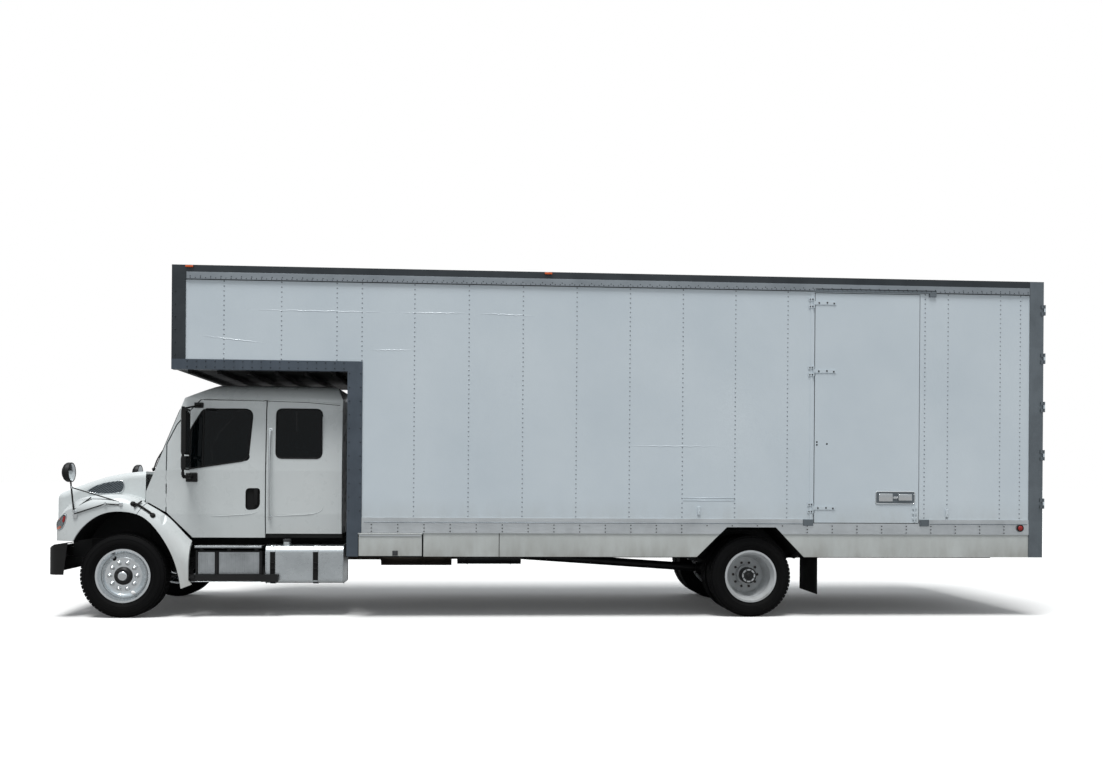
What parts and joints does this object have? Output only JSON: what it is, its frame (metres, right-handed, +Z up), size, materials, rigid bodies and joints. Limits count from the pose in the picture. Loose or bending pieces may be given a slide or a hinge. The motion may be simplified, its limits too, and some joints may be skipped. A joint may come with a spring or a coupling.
{
  "type": "box truck",
  "caption": "Conventional extended-cab box truck with an over-cab attic body, tilting hood, side and rear cargo doors and twin rear wheels.",
  "frame": {"origin": "on the ground, in the middle of the overall length and width", "axes": "+X to the front, +Y to the truck's left, +Z up"},
  "size_m": [11.36, 2.72, 3.8899],
  "materials": {
    "black_steel": "satin",
    "engine_grey": "rough",
    "dull_steel": "dull",
    "black_bumper": "satin",
    "white_paint": "gloss",
    "grey_plastic": "satin",
    "lamp_glass": "clear",
    "tinted_glass": "tinted",
    "seat_cloth": "woven",
    "dash_plastic": "grained",
    "tank_aluminium": "mill",
    "body_panel": "gloss",
    "trim_aluminium": "anodised",
    "floor_wood": "worn",
    "dark_steel": "satin",
    "black_rubber": "matte",
    "tyre_rubber": "matte",
    "wheel_aluminium": "polished",
    "wheel_white": "satin"
  },
  "bodies": {
    "chassis": {"frame_rails": "black_steel", "front_axle": "black_steel", "leaf_springs": "black_steel", "rear_axle": "black_steel", "crossmembers": "black_steel", "drive_shafts": "black_steel", "engine_block": "engine_grey", "exhaust": "dull_steel", "front_bumper": "black_bumper", "quarter_fenders": "white_paint", "cab_shell": "white_paint", "cab_roof": "white_paint", "cab_floor": "black_steel", "cab_glass": "tinted_glass", "seats": "seat_cloth", "dashboard": "dash_plastic", "steering_wheel": "dash_plastic", "cab_steps": "black_steel", "fuel_tank": "tank_aluminium", "left_wall": "body_panel", "right_wall": "body_panel", "front_wall": "body_panel", "top_rails": "trim_aluminium", "attic_trim": "dark_steel", "sill_rails": "trim_aluminium", "side_door_frame": "body_panel", "body_floor": "floor_wood", "body_roof": "body_panel", "rear_frame": "dark_steel", "tool_locker": "black_steel", "side_skirts": "body_panel", "wheel_liners": "black_rubber", "rear_guard": "dark_steel"},
    "hood": {"hood": "white_paint", "grille": "grey_plastic", "headlamps": "lamp_glass", "hood_mirrors": "black_bumper", "arch_liners": "black_rubber"},
    "left_knuckle": {"left_knuckle": "black_steel"},
    "right_knuckle": {"right_knuckle": "black_steel"},
    "tie_rod": {"tie_rod": "black_steel"},
    "left_front_wheel": {"left_front_wheel": "wheel_aluminium", "left_front_tyre": "tyre_rubber"},
    "right_front_wheel": {"right_front_wheel": "wheel_aluminium", "right_front_tyre": "tyre_rubber"},
    "left_rear_wheels": {"left_rear_wheels": "wheel_white", "left_rear_tyres": "tyre_rubber"},
    "right_rear_wheels": {"right_rear_wheels": "wheel_white", "right_rear_tyres": "tyre_rubber"},
    "left_cab_door": {"left_cab_door": "white_paint", "left_door_glass": "tinted_glass", "left_door_mirror": "black_bumper"},
    "right_cab_door": {"right_cab_door": "white_paint", "right_door_glass": "tinted_glass", "right_door_mirror": "black_bumper"},
    "left_rear_door": {"left_rear_door": "body_panel"},
    "right_rear_door": {"right_rear_door": "body_panel"},
    "side_cargo_door": {"side_cargo_door": "body_panel"},
    "locker_lid": {"locker_lid": "body_panel"}
  },
  "joints": [
    {"name": "hood_tilt", "type": "hinge", "parent": "chassis", "child": "hood", "pos_m": [5.572, 0, 0.845], "axis": [0, 1, 0], "range_deg": [0, 60]},
    {"name": "left_cab_door_swing", "type": "hinge", "parent": "chassis", "child": "left_cab_door", "pos_m": [4.3535, 1.031, 1.43], "axis": [0, 0, -1], "range_deg": [0, 65]},
    {"name": "right_cab_door_swing", "type": "hinge", "parent": "chassis", "child": "right_cab_door", "pos_m": [4.3535, -1.031, 1.43], "axis": [0, 0, 1], "range_deg": [0, 65]},
    {"name": "left_steer", "type": "hinge", "parent": "chassis", "child": "left_knuckle", "pos_m": [4.777, 0.93, 0.465], "axis": [0, 0, 1], "range_deg": [-35, 35]},
    {"name": "right_steer", "type": "hinge", "parent": "chassis", "child": "right_knuckle", "pos_m": [4.777, -0.93, 0.465], "axis": [0, 0, 1], "range_deg": [-35, 35]},
    {"name": "tie_rod_turn", "type": "hinge", "parent": "left_knuckle", "child": "tie_rod", "pos_m": [4.597, 0.93, 0.37], "axis": [0, 0, 1], "range_deg": [-35, 35]},
    {"name": "left_front_wheel_spin", "type": "hinge", "parent": "left_knuckle", "child": "left_front_wheel", "pos_m": [4.777, 1.05, 0.465], "axis": [0, 1, 0], "continuous": true},
    {"name": "right_front_wheel_spin", "type": "hinge", "parent": "right_knuckle", "child": "right_front_wheel", "pos_m": [4.777, -1.05, 0.465], "axis": [0, 1, 0], "continuous": true},
    {"name": "left_rear_wheels_spin", "type": "hinge", "parent": "chassis", "child": "left_rear_wheels", "pos_m": [-2.255, 0.93, 0.465], "axis": [0, 1, 0], "continuous": true},
    {"name": "right_rear_wheels_spin", "type": "hinge", "parent": "chassis", "child": "right_rear_wheels", "pos_m": [-2.255, -0.93, 0.465], "axis": [0, 1, 0], "continuous": true},
    {"name": "left_rear_door_swing", "type": "hinge", "parent": "chassis", "child": "left_rear_door", "pos_m": [-5.67, 1.306, 2.44], "axis": [0, 0, -1], "range_deg": [0, 270]},
    {"name": "right_rear_door_swing", "type": "hinge", "parent": "chassis", "child": "right_rear_door", "pos_m": [-5.67, -1.306, 2.44], "axis": [0, 0, 1], "range_deg": [0, 270]},
    {"name": "side_cargo_door_swing", "type": "hinge", "parent": "chassis", "child": "side_cargo_door", "pos_m": [-2.943, 1.303, 2.4], "axis": [0, 0, -1], "range_deg": [0, 180]},
    {"name": "locker_lid_lift", "type": "hinge", "parent": "chassis", "child": "locker_lid", "pos_m": [1.8405, 1.298, 0.948], "axis": [1, 0, 0], "range_deg": [0, 100]}
  ],
  "couplings": [
    {"joint": "right_steer", "follows": "left_steer", "ratio": 1},
    {"joint": "tie_rod_turn", "follows": "left_steer", "ratio": -1}
  ]
}
